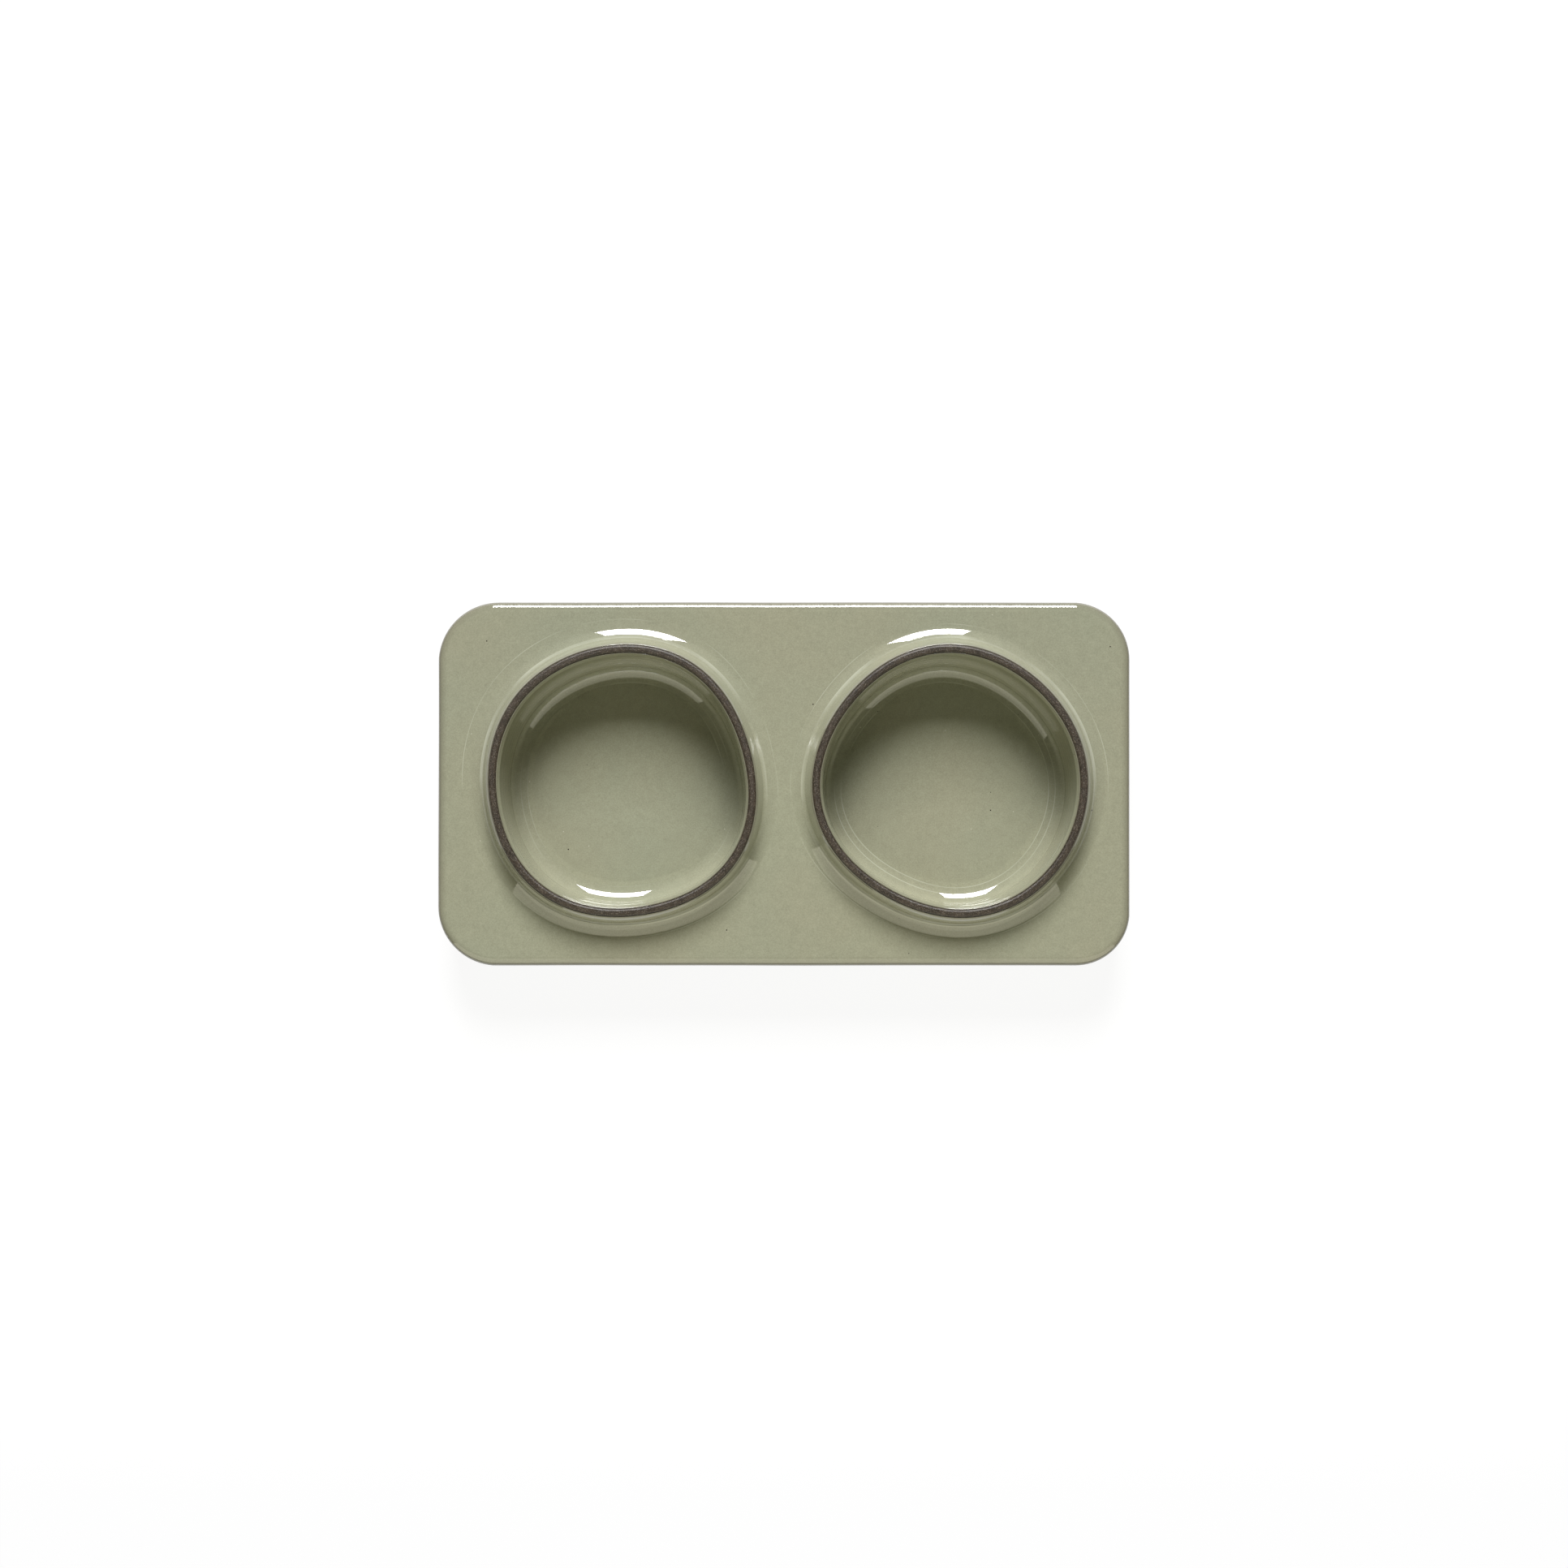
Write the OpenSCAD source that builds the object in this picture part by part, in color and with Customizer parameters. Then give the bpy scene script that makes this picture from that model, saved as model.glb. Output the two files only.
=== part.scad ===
// Two-cup olive dish of glazed stoneware: one cup for olives, the other for their stones.
// Millimetres, +X along the tray, +Y to its back, +Z up, origin under the middle of the tray.

/* [Cups] */
// Radius of each cup at the middle of its wall
cup_r = 35.9; // [30:0.1:45]
// Depth of each cup from its rim to its glazed floor
cup_depth = 26; // [20:0.5:40]
// Height of the rims above the glazed tray
rim_rise = 8.8; // [6.4:0.1:12]
// Thickness of the clay wall of each cup
wall_t = 3.4; // [2.8:0.1:5]
// Thickness of the clay floor of each cup
floor_t = 4; // [3:0.1:8]
// Space between the cup floors and the table
floor_clearance = 1.5; // [0.5:0.1:4]
// Width of the bare clay band on top of each rim
rim_band_w = 2.1; // [1.2:0.1:2.6]
// How far the bare band is domed across its width
rim_dome = 0.3; // [0.15:0.05:0.5]
// Height over which the rim rounds over into the wall
shoulder_drop = 1.3; // [0.8:0.1:1.6]
// Depth of the seat in the floor that the wall stands in
wall_seat = 1; // [0.5:0.1:2]

/* [Coils] */
// Run of the hollow curve between a cup and the tray, across the tray
collar_run = 5.5; // [3:0.1:7]
// Height of the hollow curve between a cup and the tray
collar_rise = 4.6; // [3:0.1:4.8]
// Radius of the hollow curve between a cup wall and its floor
floor_curve_r = 5; // [3:0.1:9]

/* [Tray] */
// Gap between the feet of the two collars
cup_gap = 2.3; // [1.8:0.1:20]
// Flat and rounded edge beyond the collar of the left cup
left_margin = 7.4; // [5:0.1:30]
// Flat and rounded edge beyond the collar of the right cup
right_margin = 5.9; // [5:0.1:30]
// Flat and rounded edge between the collars and the back
back_margin = 5.9; // [5:0.1:30]
// Flat and rounded edge between the collars and the front
front_margin = 6.9; // [5:0.1:30]
// Radius of the back left corner
back_left_r = 16.7; // [12:0.1:24]
// Radius of the back right corner
back_right_r = 15.8; // [12:0.1:24]
// Radius of the front left corner
front_left_r = 16.2; // [12:0.1:24]
// Radius of the front right corner
front_right_r = 14.9; // [12:0.1:24]
// Thickness of the top slab
slab_t = 6; // [5:0.1:8]
// Thickness of the skirt under the edge of the slab
skirt_t = 5.5; // [4:0.1:8]
// Depth by which the slab drops inside the skirt
lap_d = 1.5; // [0.5:0.1:2]
// Run of the rounded top edge
edge_run = 2.8; // [1.5:0.1:3]
// Drop of the rounded top edge
edge_drop = 1.6; // [1.2:0.1:2.5]
// Chamfer round the outside of the foot
foot_chamfer = 0.8; // [0.3:0.1:1.5]

/* [Glaze] */
// Thickness of the fired glaze
glaze_t = 0.5; // [0.3:0.05:0.8]
// Height of the bare foot below the glaze
bare_foot_h = 2.5; // [1.8:0.1:5]
// How far the lip of the glaze lies below the top of the rim
lip_dip = 0.05; // [0:0.01:0.1]

/* [Hidden] */

// Each cup is a little out of round. A row adds lobes to its outline: how many lobes,
// their height as a share of the cup's radius, and the angle of one of them in degrees.
left_lobe_shares = [[2, 0.0096, -76], [3, 0.0112, -31], [4, 0.014, -33]];
right_lobe_shares = [[2, 0.012, -32], [3, 0.0132, -46], [4, 0.011, 11]];

// Steps round a cup, round a tray corner, along a hollow curve and over a shoulder
cup_steps = 60;
corner_steps = 8;
curve_steps = 5;
shoulder_steps = 3;

// How far a cut runs past what it cuts
overrun = 1;

clay_colour = [0.27, 0.23, 0.19];
glaze_colour = [0.62, 0.62, 0.5];

// Distances from the middle of a cup wall, outwards
wall_out = wall_t / 2;
glaze_out = wall_out + glaze_t;
band_out = rim_band_w / 2;
collar_foot = glaze_out + collar_run;
floor_flat = glaze_out + floor_curve_r;

// Heights above the table
floor_z = floor_clearance + floor_t;
floor_glaze_z = floor_z + glaze_t;
rim_z = floor_glaze_z + cup_depth;
shoulder_z = rim_z - shoulder_drop;
band_z = rim_z - rim_dome;
lip_z = rim_z - lip_dip;
tray_z = rim_z - rim_rise;
slab_z = tray_z - glaze_t;
slab_under_z = slab_z - slab_t;
joint_z = slab_under_z + lap_d;

// The tray and the places of the cups follow from the collars and the margins
collar_span = 2 * (cup_r + collar_foot);
tray_l = left_margin + collar_span + cup_gap + collar_span + right_margin;
tray_w = back_margin + collar_span + front_margin;
cup_y = (front_margin - back_margin) / 2;
left_x = left_margin + collar_span / 2 - tray_l / 2;
right_x = tray_l / 2 - right_margin - collar_span / 2;

// A cup is its centre and its table of lobes
left_cup = [[left_x, cup_y], left_lobe_shares];
right_cup = [[right_x, cup_y], right_lobe_shares];

// Sum of the lobes at an angle, as a share of the radius
function lobe_share(lobes, angle) =
    [for (lobe = lobes) lobe[1] * cos(lobe[0] * (angle - lobe[2]))] * [for (lobe = lobes) 1];

// Outline of a cup, off outwards from the middle of its wall
function cup_outline(cup, off) =
    [for (i = [0 : cup_steps - 1])
        let (angle = 360 * i / cup_steps,
             r = cup_r * (1 + lobe_share(cup[1], angle)) + off)
        cup[0] + r * [cos(angle), sin(angle)]];

// Centre, radius and first angle of each corner of the tray
corners = [
    [[tray_l / 2 - back_right_r, tray_w / 2 - back_right_r], back_right_r, 0],
    [[back_left_r - tray_l / 2, tray_w / 2 - back_left_r], back_left_r, 90],
    [[front_left_r - tray_l / 2, front_left_r - tray_w / 2], front_left_r, 180],
    [[tray_l / 2 - front_right_r, front_right_r - tray_w / 2], front_right_r, 270]
];

// Outline of the tray, off outwards from its edge
function tray_outline(off) =
    [for (corner = corners) for (i = [0 : corner_steps])
        let (angle = corner[2] + 90 * i / corner_steps)
        corner[0] + (corner[1] + off) * [cos(angle), sin(angle)]];

// Points [off, z] on an ellipse from one angle to another, both ends included
function arc(centre, run, rise, from, to, steps) =
    [for (i = [0 : steps])
        let (angle = from + (to - from) * i / steps)
        centre + [run * cos(angle), rise * sin(angle)]];

function reversed(list) = [for (i = [len(list) - 1 : -1 : 0]) list[i]];
function inwards(profile) = [for (p = profile) [-p[0], p[1]]];
function at_height(outline, z) = [for (p = outline) [p[0], p[1], z]];

// Rings round a cup or round the tray, one for each point [off, z] of a profile
function cup_rings(cup, profile) = [for (p = profile) at_height(cup_outline(cup, p[0]), p[1])];
function tray_rings(profile) = [for (p = profile) at_height(tray_outline(p[0]), p[1])];

// Hollow curve between a cup and the tray, from its foot up, on the clay and on the glaze
collar_centre = [collar_foot, tray_z + collar_rise];
collar_clay = arc(collar_centre, collar_run + glaze_t, collar_rise + glaze_t, 270, 180, curve_steps);
collar_glaze = arc(collar_centre, collar_run, collar_rise, 270, 180, curve_steps);

// Hollow curve inside a cup, from the floor up, drawn as if it lay outside the wall
floor_centre = [floor_flat, floor_glaze_z + floor_curve_r];
floor_clay = arc(floor_centre, floor_curve_r + glaze_t, floor_curve_r + glaze_t, 270, 180, curve_steps);
floor_glaze = arc(floor_centre, floor_curve_r, floor_curve_r, 270, 180, curve_steps);

// Shoulder of the rim, from the wall up to the bare band, on the clay and on the glaze
shoulder_clay = arc([band_out, shoulder_z], wall_out - band_out, band_z - shoulder_z, 0, 90, shoulder_steps);
shoulder_glaze = arc([band_out, shoulder_z], glaze_out - band_out, lip_z - shoulder_z, 0, 90, shoulder_steps);

// Rounded top edge of the tray, from its side up, on the clay and on the glaze
edge_centre = [-edge_run, tray_z - edge_drop];
edge_clay = arc(edge_centre, edge_run - glaze_t, edge_drop - glaze_t, 0, 90, curve_steps);
edge_glaze = arc(edge_centre, edge_run, edge_drop, 0, 90, curve_steps);

// Solid between rings of points that run anticlockwise seen from above. The rings follow a
// profile with the solid on its left: closed on itself, or from a bottom cap to a top cap.
// Each four-sided face is split from its lower ring up, so that faces that touch match.
module loft(rings, capped = false) {
    n = len(rings[0]);
    count = len(rings);
    sides = [for (j = [0 : count - (capped ? 2 : 1)]) for (i = [0 : n - 1])
        let (k = (j + 1) % count,
             next = (i + 1) % n,
             a = j * n + i,
             b = j * n + next,
             c = k * n + next,
             d = k * n + i,
             rising = rings[j][0][2] <= rings[k][0][2])
        each rising ? [[a, c, b], [a, d, c]] : [[a, d, b], [b, d, c]]];
    caps = [[for (i = [0 : n - 1]) i], [for (i = [n - 1 : -1 : 0]) (count - 1) * n + i]];
    polyhedron([for (ring = rings) each ring], capped ? concat(sides, caps) : sides);
}

// Upright plate of a given outline between two heights
module plate(outline, bottom, top) {
    translate([0, 0, bottom]) linear_extrude(top - bottom) polygon(outline);
}

// Top slab, with an opening for each cup and a step underneath that drops into the skirt
module tray_slab() {
    side = -glaze_t;
    color(clay_colour) difference() {
        union() {
            loft(tray_rings(concat([[side, joint_z]], edge_clay)), capped = true);
            plate(tray_outline(side - skirt_t), slab_under_z, joint_z);
        }
        for (cup = [left_cup, right_cup])
            plate(cup_outline(cup, wall_out), slab_under_z - overrun, slab_z + overrun);
    }
}

// Strip of clay bent round under the edge of the slab, down to the table
module tray_skirt() {
    side = -glaze_t;
    color(clay_colour) loft(tray_rings([
        [side - skirt_t, 0],
        [side - foot_chamfer, 0],
        [side, foot_chamfer],
        [side, joint_z],
        [side - skirt_t, joint_z]
    ]));
}

// Wall of a cup. It goes through the slab, and its top is the bare rim.
module cup_wall(cup) {
    foot_z = floor_z - wall_seat;
    color(clay_colour) loft(cup_rings(cup, concat(
        [[wall_out, foot_z]],
        shoulder_clay,
        [[0, rim_z]],
        inwards(reversed(shoulder_clay)),
        [[-wall_out, foot_z]]
    )));
}

// Floor of a cup, with a seat round its edge for the wall
module cup_floor(cup) {
    color(clay_colour) union() {
        plate(cup_outline(cup, wall_out), floor_clearance, floor_z - wall_seat);
        plate(cup_outline(cup, -wall_out), floor_z - wall_seat, floor_z);
    }
}

// Coil of clay worked into the angle between a cup and the slab
module collar_coil(cup) {
    color(clay_colour) loft(cup_rings(cup, concat([[wall_out, slab_z]], collar_clay)));
}

// Coil of clay worked into the angle between a cup wall and its floor
module floor_coil(cup) {
    color(clay_colour) loft(cup_rings(cup, concat([[-wall_out, floor_z]], inwards(reversed(floor_clay)))));
}

// Everything inside the outer surface of a cup, from below the slab up to the bare band,
// where it narrows to a core of the given top height
module cup_core(cup, collar, shoulder, core_off, core_top) {
    loft(cup_rings(cup, concat(
        [[collar_foot, slab_under_z]],
        collar,
        shoulder,
        [[core_off, core_top]]
    )), capped = true);
}

// Glaze on the outside: what lies between the glazed form and the clay form
module tray_glaze() {
    cups = [left_cup, right_cup];
    color(glaze_colour) difference() {
        union() {
            loft(tray_rings(concat([[0, bare_foot_h]], edge_glaze)), capped = true);
            for (cup = cups)
                cup_core(cup, collar_glaze, shoulder_glaze, 0, lip_z);
        }
        loft(tray_rings(concat([[-glaze_t, 0]], edge_clay)), capped = true);
        for (cup = cups)
            cup_core(cup, collar_clay, shoulder_clay, band_out, rim_z + overrun);
    }
}

// Glaze inside a cup, from the bare band to the floor
module cup_glaze(cup) {
    color(glaze_colour) loft(cup_rings(cup, inwards(concat(
        floor_clay,
        shoulder_clay,
        reversed(shoulder_glaze),
        reversed(floor_glaze)
    ))), capped = true);
}

module left_cup_wall() { cup_wall(left_cup); }
module left_cup_floor() { cup_floor(left_cup); }
module left_collar_coil() { collar_coil(left_cup); }
module left_floor_coil() { floor_coil(left_cup); }
module left_cup_glaze() { cup_glaze(left_cup); }
module right_cup_wall() { cup_wall(right_cup); }
module right_cup_floor() { cup_floor(right_cup); }
module right_collar_coil() { collar_coil(right_cup); }
module right_floor_coil() { floor_coil(right_cup); }
module right_cup_glaze() { cup_glaze(right_cup); }

tray_slab();
tray_skirt();
left_cup_wall();
left_cup_floor();
left_collar_coil();
left_floor_coil();
right_cup_wall();
right_cup_floor();
right_collar_coil();
right_floor_coil();
tray_glaze();
left_cup_glaze();
right_cup_glaze();
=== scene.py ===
import math

import bmesh
import bpy
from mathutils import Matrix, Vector, noise


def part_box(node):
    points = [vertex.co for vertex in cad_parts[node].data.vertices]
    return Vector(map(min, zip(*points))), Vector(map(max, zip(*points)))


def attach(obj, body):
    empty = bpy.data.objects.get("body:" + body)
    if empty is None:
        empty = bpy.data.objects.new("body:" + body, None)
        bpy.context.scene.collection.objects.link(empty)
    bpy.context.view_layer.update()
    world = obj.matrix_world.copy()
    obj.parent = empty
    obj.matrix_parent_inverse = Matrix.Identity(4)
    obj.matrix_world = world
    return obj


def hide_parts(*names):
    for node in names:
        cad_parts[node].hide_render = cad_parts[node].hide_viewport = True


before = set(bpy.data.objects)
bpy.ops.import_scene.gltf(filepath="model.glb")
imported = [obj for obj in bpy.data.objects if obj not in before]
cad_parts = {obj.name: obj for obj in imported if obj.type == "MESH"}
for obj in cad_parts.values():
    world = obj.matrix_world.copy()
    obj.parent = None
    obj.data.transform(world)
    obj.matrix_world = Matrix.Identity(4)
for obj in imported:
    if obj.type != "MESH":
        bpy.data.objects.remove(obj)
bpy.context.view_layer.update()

# The olive dish's glaze, bare clay rims, cup floors and foot, made smooth round the packed
# solids. Metres and degrees, +X along the tray, +Y to its back, +Z up.

# A cup's wall has its middle at this radius, and distances across the wall start there: they
# are outward, and inward where the name says INNER
CUP_R = 0.0359
WALL_HALF = 0.0017
GLAZE_T = 0.0005

# Bare band on a rim, and the bead of glaze on each side of it. The band is flat in its middle
# part, falls away by BAND_DOME of its height, and by the rest close to its edges.
BAND_HALF = 0.00105
BAND_ROUND = 0.0007
BAND_FLAT = 0.42
BAND_DOME = 0.38
BAND_DOME_POWER = 1.3
BAND_EDGE_POWER = 14
BEAD_R = 0.00013
BEAD_OUT = BAND_HALF + 2.2 * BEAD_R

# Outside a cup: a shoulder that bulges at the front, a crease, and a flare that runs out into
# the tray and grows towards the front. BULGE_SCALE makes the highest value of x(1 - x)^2 one.
SHOULDER_BULGE = 0.00066
BULGE_SCALE = 27 / 4
CREASE_OUT = 0.00305
CREASE_DROP = 0.00085
FLARE_OUT = 0.00405
FLARE_R = 0.0076
FLARE_SLOPE = 29
FOOT_SLOPE = 12
FLARE_GROWTH = 0.4

# Inside a cup: a lip, an upright wall, a hollow curve down to a shallow moat, and a domed floor
# that lies a little further forward than the rim
INNER_WALL = 0.0018
INNER_LIP_DROP = 0.0020
INNER_CURVE_RUN = 0.0048
INNER_CURVE_RISE = 0.0038
INNER_FOOT = 0.0072
INNER_TURN = 61
INNER_TIGHT_R = 0.0006
FLOOR_SHIFT = 0.00105
MOAT_DEPTH = 0.00025
DOME_RISE = 0.0007
DOME_POWER = 5
FLOOR_END_GAP = 0.0002
FLOOR_END_LIFT = 0.00001

# Clay that the glaze hides: a step and a slope under the band, the bed of the glaze below the
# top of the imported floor, the coil above the crease, and the softened edge of a cup's underside
CLAY_STEP_OUT = 0.00005
CLAY_STEP_DROP = 0.0006
CLAY_SLOPE_DROP = 0.0026
BED_DROP = 0.0004
COLLAR_RISE = 0.0012
FLOOR_SOFT_R = 0.0008

# Sizes of the tray: a long soft curve and then a tight one take its top down to its side. At
# the two ends the soft edge drops less, by END_LIFT of its drop.
EDGE_RUN = 0.0028
EDGE_SOFT_R = 0.0073
EDGE_SOFT_SLOPE = 11
END_LIFT = 0.3
SKIRT_T = 0.0055
FOOT_CHAMFER = 0.0008
BARE_FOOT = 0.0025

# Heights and half sizes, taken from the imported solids
RIM_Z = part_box("left_cup_wall")[1][2]
WALL_FOOT_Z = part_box("left_cup_wall")[0][2]
FLOOR_UNDER_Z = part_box("left_cup_floor")[0][2]
FLOOR_CLAY_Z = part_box("left_cup_floor")[1][2]
TRAY_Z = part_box("tray_slab")[1][2] + GLAZE_T
SKIRT_TOP_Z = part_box("tray_skirt")[1][2]
HALF_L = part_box("tray_glaze")[1][0]
HALF_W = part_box("tray_glaze")[1][1]
BAND_EDGE_Z = RIM_Z - BAND_ROUND
BED_Z = FLOOR_CLAY_Z - BED_DROP
MOAT_Z = FLOOR_CLAY_Z + GLAZE_T - MOAT_DEPTH
CURVE_TOP_Z = MOAT_Z + INNER_CURVE_RISE
LIP_FOOT_Z = BAND_EDGE_Z - INNER_LIP_DROP

# Centre of the flare's arc and its two ends, and the foot of the steep shoulder above it
FLARE_MID = FLARE_OUT + FLARE_R * math.sin(math.radians(FLARE_SLOPE))
FLARE_MID_Z = TRAY_Z + FLARE_R * math.cos(math.radians(FOOT_SLOPE))
FLARE_FOOT = FLARE_MID - FLARE_R * math.sin(math.radians(FOOT_SLOPE))
FLARE_TOP_Z = FLARE_MID_Z - FLARE_R * math.cos(math.radians(FLARE_SLOPE))
CREASE_Z = FLARE_TOP_Z + CREASE_DROP

# Centre of each cup, and its lobes: how many, their share of the radius, and the angle of one
CUPS = {
    "left": ((-0.044, 0.0005), ((2, 0.0096, -76), (3, 0.0112, -31), (4, 0.0140, -33))),
    "right": ((0.0455, 0.0005), ((2, 0.0120, -32), (3, 0.0132, -46), (4, 0.0110, 11))),
}

# Corner radii of the tray, by the signs of x and y, and where the halves of its glaze meet
CORNER_R = {(1, 1): 0.0158, (-1, 1): 0.0167, (-1, -1): 0.0162, (1, -1): 0.0149}
SEAM_X = 0

# How far the potter's hand leaves a surface from true, and over what distance. FAR_OFF keeps
# the noise along y apart from the noise along x.
HAND_DEPTH = 0.00009
HAND_REACH = 0.034
FAR_OFF = Vector((9.3, -1.5, -7.9))
RIM_WAVE = 0.00014
RIM_WAVE_REACH = 0.018
RIM_GRAIN = 0.00003
RIM_GRAIN_REACH = 0.0005

# Vertex attributes: 1 along the painted highlight lines in the glaze, and 0 to 1 across the tray's
# soft edge, which fades by SIDE_FADE down the side and sets how much the edge is darkened
HIGHLIGHT_LINE = "painted_highlight_line"
EDGE = "soft_edge"
SIDE_FADE = 0.75

# Painted highlight line round each cup, a thin pale line in the glaze colour: how far out it is at
# least, how much further it goes, and the direction in which it goes furthest
HIGHLIGHT_LINES = {"left": (0.0066, 0.0026, 150), "right": (0.0069, 0.0006, -10)}
HIGHLIGHT_HALF = 0.00013

# Rings of the tray's top as they are spun beyond the foot of the flare: three for the painted
# highlight line, then shares of the way from there to the soft edge
RING_GAP = 0.001
LINE_RINGS = (RING_GAP, 2 * RING_GAP, 3 * RING_GAP)
FLAT_RINGS = (0.06, 0.12, 0.2, 0.3, 0.42, 0.55, 0.68, 0.8, 0.9, 0.96, 1)

# Small ridges in the glaze: distance along the profile, half width and height of each
SHOULDER_RIDGES = [(0.0014, 0.00016, 0.000005), (0.0032, 0.0002, 0.00001)]
FLARE_RIDGES = [(0.0001, 0.00012, 0.00003)]
CURVE_RIDGES = [(0.0004, 0.00014, 0.00002)]
WALL_RIDGES = [(0.0011 * i, 0.0003, 0.000013 * (1 + i % 3)) for i in range(1, 16)]
LIP_RIDGES = [(0.00035 * i, 0.00008, 0.00001) for i in range(1, 5)]

# Where fine pale lines are painted as highlights: at the crease and beyond the foot of the flare
# outside a cup, and up in the hollow curve and at its foot inside it
OUTER_HIGHLIGHTS = [(FLARE_OUT, FLARE_TOP_Z), (FLARE_FOOT + LINE_RINGS[1], TRAY_Z)]
INNER_HIGHLIGHTS = [(0.0018 - INNER_FOOT, MOAT_Z + 0.0005), (-INNER_FOOT, MOAT_Z)]

# Steps round a cup, round a rim, along the seam and round a tray corner, rings of a cup's floor,
# and the spacing of points along the tray's outline
CUP_STEPS = 300
BAND_STEPS = 450
SEAM_STEPS = 90
CORNER_STEPS = 20
FLOOR_RINGS = 30
OUTLINE_PITCH = 0.00125

# Points closer than this are one point: in a piece that is spun, and where outlines close
SPUN_GAP = 1e-7
JOIN_GAP = 1e-6


def clamped(share):
    return min(1, max(0, share))


def arc(centre, run, rise, start, end, steps):
    """Points (off, z) on an ellipse from one angle to another, both ends included."""
    turn = [math.radians(start + (end - start) * i / steps) for i in range(steps + 1)]
    return [(centre[0] + run * math.cos(a), centre[1] + rise * math.sin(a)) for a in turn]


def line(start, end, steps):
    """Points (off, z) on a straight line, both ends included."""
    return [(start[0] + (end[0] - start[0]) * i / steps,
             start[1] + (end[1] - start[1]) * i / steps) for i in range(steps + 1)]


def inwards(profile):
    """A profile mirrored to the inner side of a cup's wall."""
    return [(-off, z) for off, z in profile]


def set_off(profile, distance):
    """A profile moved to its right by a distance, square to itself."""
    moved = []
    for i, (off, z) in enumerate(profile):
        before = profile[max(0, i - 1)]
        after = profile[min(len(profile) - 1, i + 1)]
        run = after[0] - before[0]
        rise = after[1] - before[1]
        length = math.hypot(run, rise)
        moved.append((off + distance * rise / length, z - distance * run / length))
    return moved


def with_ridges(profile, ridges):
    """A profile with small rounded ridges: (distance along it, half width, height) of each."""
    along = 0
    raised = []
    lifted = set_off(profile, -1)
    for i, (off, z) in enumerate(profile):
        if i:
            along += math.hypot(off - profile[i - 1][0], z - profile[i - 1][1])
        lift = sum(height * math.exp(-((along - place) / half) ** 2)
                   for place, half, height in ridges)
        raised.append((off + lift * (lifted[i][0] - off), z + lift * (lifted[i][1] - z)))
    return raised


def lobe_rise(lobes, angle):
    """How far a cup's outline stands out from a true circle at an angle."""
    return CUP_R * sum(share * math.cos(n * (angle - math.radians(turn)))
                       for n, share, turn in lobes)


def hand_formed(point):
    """A point moved a little, the same way for every piece, and kept inside the true box."""
    spot = point / HAND_REACH
    raised = clamped((point.z - TRAY_Z) / (RIM_Z - TRAY_Z))
    wave = 0.5 + 0.5 * noise.noise(Vector((point.x, point.y, 0)) / RIM_WAVE_REACH)
    return Vector((
        point.x * (1 - HAND_DEPTH / HALF_L) + noise.noise(spot) * HAND_DEPTH,
        point.y * (1 - HAND_DEPTH / HALF_W) + noise.noise(spot + FAR_OFF) * HAND_DEPTH,
        point.z - RIM_WAVE * raised * wave,
    ))


def finish_piece(bm, name, node_names, material, smooth=True):
    """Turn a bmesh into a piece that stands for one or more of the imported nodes."""
    for vert in bm.verts:
        vert.co = hand_formed(vert.co)
    mesh = bpy.data.meshes.new(name)
    bm.to_mesh(mesh)
    bm.free()
    for polygon in mesh.polygons:
        polygon.use_smooth = smooth
    piece = bpy.data.objects.new(name, mesh)
    bpy.context.scene.collection.objects.link(piece)
    mesh.materials.append(material)
    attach(piece, "root")
    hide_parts(*node_names)
    return piece


def turned(profile, steps, closed=False, highlight_marks=()):
    """A profile of (off, z) points turned about the middle of a cup.

    The marked points of the profile carry a painted highlight line, a fine pale line in the glaze
    colour.
    """
    bm = bmesh.new()
    highlight_layer = bm.verts.layers.float.new(HIGHLIGHT_LINE)
    verts = [bm.verts.new((CUP_R + off, 0, z)) for off, z in profile]
    for highlight_mark in highlight_marks:
        nearest = min(verts, key=lambda vert: math.dist((vert.co.x - CUP_R, vert.co.z), highlight_mark))
        nearest[highlight_layer] = 1
    pairs = list(zip(verts, verts[1:]))
    if closed:
        pairs.append((verts[-1], verts[0]))
    edges = [bm.edges.new(pair) for pair in pairs]
    bmesh.ops.spin(bm, geom=verts + edges, cent=(0, 0, 0), axis=(0, 0, 1),
                   angle=math.tau, steps=steps, use_merge=True)
    bmesh.ops.remove_doubles(bm, verts=bm.verts, dist=SPUN_GAP)
    bmesh.ops.recalc_face_normals(bm, faces=bm.faces)
    return bm


def push_out_of_round(bm, side, shift_floor=False):
    """Give a turned piece its cup's place and its uneven outline.

    With shift_floor it moves forward below the foot of the lip, fully so from the top of the
    hollow curve down. The uneven outline fades away towards the middle of a floor.
    """
    centre, lobes = CUPS[side]
    for vert in bm.verts:
        r = math.hypot(vert.co.x, vert.co.y)
        angle = math.atan2(vert.co.y, vert.co.x)
        fade = min(1, r / (CUP_R / 2))
        inside = 0
        if shift_floor:
            inside = clamped((LIP_FOOT_Z - vert.co.z) / (LIP_FOOT_Z - CURVE_TOP_Z))
        r += fade * lobe_rise(lobes, angle)
        vert.co.x = centre[0] + r * math.cos(angle)
        vert.co.y = centre[1] + r * math.sin(angle) - inside * FLOOR_SHIFT


# Profiles

def outer_profile():
    """Glaze outside a cup, from the bare band down: bead, steep shoulder, crease and flare."""
    bead = arc((BAND_HALF + BEAD_R, BAND_EDGE_Z), BEAD_R, BEAD_R, 190, 20, steps=6)
    shoulder = line((BEAD_OUT, BAND_EDGE_Z - BEAD_R), (CREASE_OUT, CREASE_Z), steps=16)
    flare = arc((FLARE_MID, FLARE_MID_Z), FLARE_R, FLARE_R,
                270 - FLARE_SLOPE, 270 - FOOT_SLOPE, steps=22)
    return bead + with_ridges(shoulder, SHOULDER_RIDGES) + with_ridges(flare, FLARE_RIDGES)


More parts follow.
